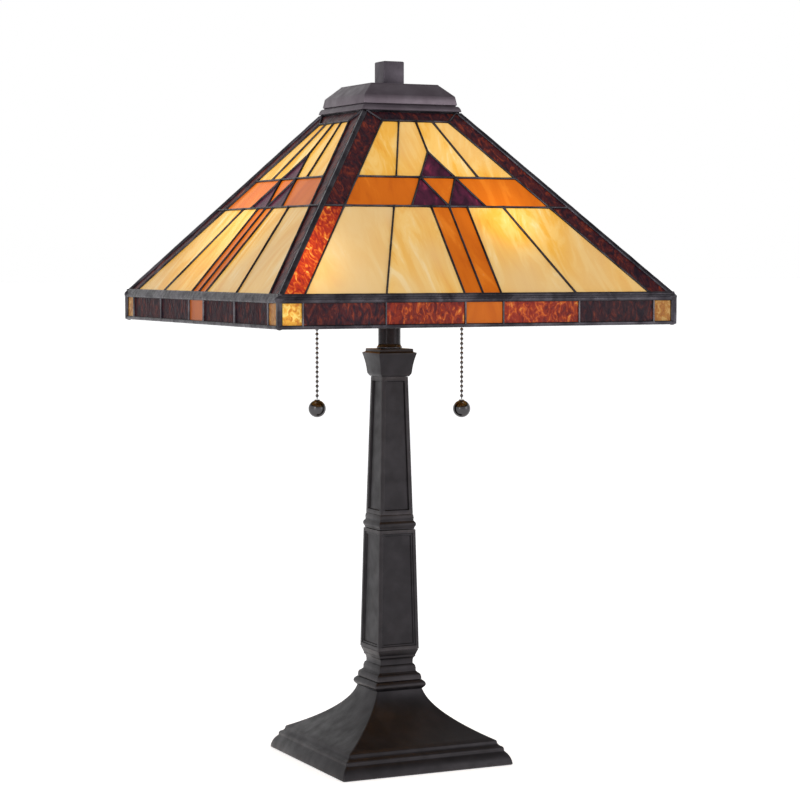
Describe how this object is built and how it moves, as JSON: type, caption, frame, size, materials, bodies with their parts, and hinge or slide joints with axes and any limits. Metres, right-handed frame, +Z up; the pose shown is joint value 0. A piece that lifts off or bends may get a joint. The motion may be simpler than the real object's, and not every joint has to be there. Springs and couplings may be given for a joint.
{
  "type": "stained glass table lamp",
  "caption": "Square leaded glass table lamp: flared foot, tapered square column, pull-chain light cluster and a pyramid shade that turns under a square finial.",
  "frame": {"origin": "centre of the underside of the felt pad", "axes": "+Z up along the column, -Y towards the front of the lamp, +X to its right"},
  "size_m": [0.3554, 0.3554, 0.6016],
  "materials": {
    "bronze": "satin dark bronze, cast",
    "cap_bronze": "satin bronze with a violet cast",
    "came": "dark patinated solder and came",
    "amber_glass": "opalescent amber art glass with soft streaks",
    "orange_glass": "smooth orange art glass",
    "purple_glass": "streaky dark purple art glass",
    "brown_glass": "rippled dark red-brown art glass",
    "red_glass": "rippled red-orange art glass",
    "yellow_glass": "rippled yellow art glass",
    "felt": "dark felt",
    "iron": "raw cast iron",
    "steel": "zinc plated steel",
    "brass": "satin brass",
    "phenolic": "black moulded plastic",
    "nickel": "dark polished nickel",
    "bulb_white": "frosted bulb glass"
  },
  "bodies": {
    "base": {"felt_pad": "felt", "base_ballast": "iron", "base_washer": "steel", "base_nut": "steel", "threaded_pipe": "steel", "stem_rod": "steel", "cord_bushing": "phenolic", "base_foot": "bronze", "base_collar": "bronze", "lower_column": "bronze", "column_band": "bronze", "upper_column": "bronze", "capital": "bronze", "neck_tube": "bronze", "cluster_body": "bronze", "seat_nut": "brass", "socket_cap_right": "brass", "socket_shell_right": "brass", "chain_guide_right": "brass", "socket_interior_right": "phenolic", "socket_cap_left": "brass", "socket_shell_left": "brass", "chain_guide_left": "brass", "socket_interior_left": "phenolic"},
    "shade": {"shade_spider": "brass", "vase_cap": "cap_bronze", "slope_glass_front": "amber_glass", "skirt_glass_front": "red_glass", "slope_cames_front": "came", "skirt_cames_front": "came", "slope_glass_right": "amber_glass", "skirt_glass_right": "red_glass", "slope_cames_right": "came", "skirt_cames_right": "came", "slope_glass_back": "amber_glass", "skirt_glass_back": "red_glass", "slope_cames_back": "came", "skirt_cames_back": "came", "slope_glass_left": "amber_glass", "skirt_glass_left": "red_glass", "slope_cames_left": "came", "skirt_cames_left": "came", "hip_came_front_right": "came", "hip_came_back_right": "came", "hip_came_back_left": "came", "hip_came_front_left": "came"},
    "finial_thread": {"finial_insert": "brass"},
    "finial": {"finial_knob": "bronze"},
    "bulb_screw_right": {"bulb_base_right": "brass"},
    "bulb_right": {"bulb_glass_right": "bulb_white"},
    "chain_pull_right": {"chain_upper_right": "nickel"},
    "chain_link_right": {"chain_middle_right": "nickel"},
    "chain_drop_right": {"chain_lower_right": "nickel", "chain_ball_right": "nickel"},
    "bulb_screw_left": {"bulb_base_left": "brass"},
    "bulb_left": {"bulb_glass_left": "bulb_white"},
    "chain_pull_left": {"chain_upper_left": "nickel"},
    "chain_link_left": {"chain_middle_left": "nickel"},
    "chain_drop_left": {"chain_lower_left": "nickel", "chain_ball_left": "nickel"}
  },
  "joints": [
    {"name": "shade_swivel", "type": "hinge", "parent": "base", "child": "shade", "pos_m": [0, 0, 0.555], "axis": [0, 0, 1], "continuous": true},
    {"name": "finial_rise", "type": "slide", "parent": "base", "child": "finial_thread", "axis": [0, 0, 1], "range_m": [0, 0.01035]},
    {"name": "finial_turn", "type": "hinge", "parent": "finial_thread", "child": "finial", "pos_m": [0, 0, 0.59], "axis": [0, 0, 1], "range_deg": [0, 3960]},
    {"name": "bulb_rise_right", "type": "slide", "parent": "base", "child": "bulb_screw_right", "axis": [0.8496, -0.4016, 0.342], "range_m": [0, 0.01088]},
    {"name": "bulb_turn_right", "type": "hinge", "parent": "bulb_screw_right", "child": "bulb_right", "pos_m": [0.07646, -0.03614, 0.43578], "axis": [0.8496, -0.4016, 0.342], "range_deg": [0, 1080]},
    {"name": "chain_pull_right", "type": "slide", "parent": "base", "child": "chain_pull_right", "axis": [0, 0, -1], "range_m": [0, 0.008], "stiffness_N_per_m": 120, "springref_m": -0.005},
    {"name": "chain_swing_right", "type": "hinge", "parent": "chain_pull_right", "child": "chain_link_right", "pos_m": [0.0565, -0.02671, 0.39485], "axis": [0.4274, 0.9041, 0], "range_deg": [-20, 20]},
    {"name": "chain_sway_right", "type": "hinge", "parent": "chain_link_right", "child": "chain_drop_right", "pos_m": [0.0565, -0.02671, 0.38665], "axis": [0.9041, -0.4274, 0], "range_deg": [-20, 20]},
    {"name": "bulb_rise_left", "type": "slide", "parent": "base", "child": "bulb_screw_left", "axis": [-0.8496, 0.4016, 0.342], "range_m": [0, 0.01088]},
    {"name": "bulb_turn_left", "type": "hinge", "parent": "bulb_screw_left", "child": "bulb_left", "pos_m": [-0.07646, 0.03614, 0.43578], "axis": [-0.8496, 0.4016, 0.342], "range_deg": [0, 1080]},
    {"name": "chain_pull_left", "type": "slide", "parent": "base", "child": "chain_pull_left", "axis": [0, 0, -1], "range_m": [0, 0.008], "stiffness_N_per_m": 120, "springref_m": -0.005},
    {"name": "chain_swing_left", "type": "hinge", "parent": "chain_pull_left", "child": "chain_link_left", "pos_m": [-0.0565, 0.02671, 0.39485], "axis": [0.4274, 0.9041, 0], "range_deg": [-20, 20]},
    {"name": "chain_sway_left", "type": "hinge", "parent": "chain_link_left", "child": "chain_drop_left", "pos_m": [-0.0565, 0.02671, 0.38665], "axis": [0.9041, -0.4274, 0], "range_deg": [-20, 20]}
  ],
  "couplings": [
    {"joint": "finial_turn", "follows": "finial_rise", "rad_per_m": 6679},
    {"joint": "bulb_turn_right", "follows": "bulb_rise_right", "rad_per_m": 1731.6},
    {"joint": "bulb_turn_left", "follows": "bulb_rise_left", "rad_per_m": 1731.6}
  ]
}
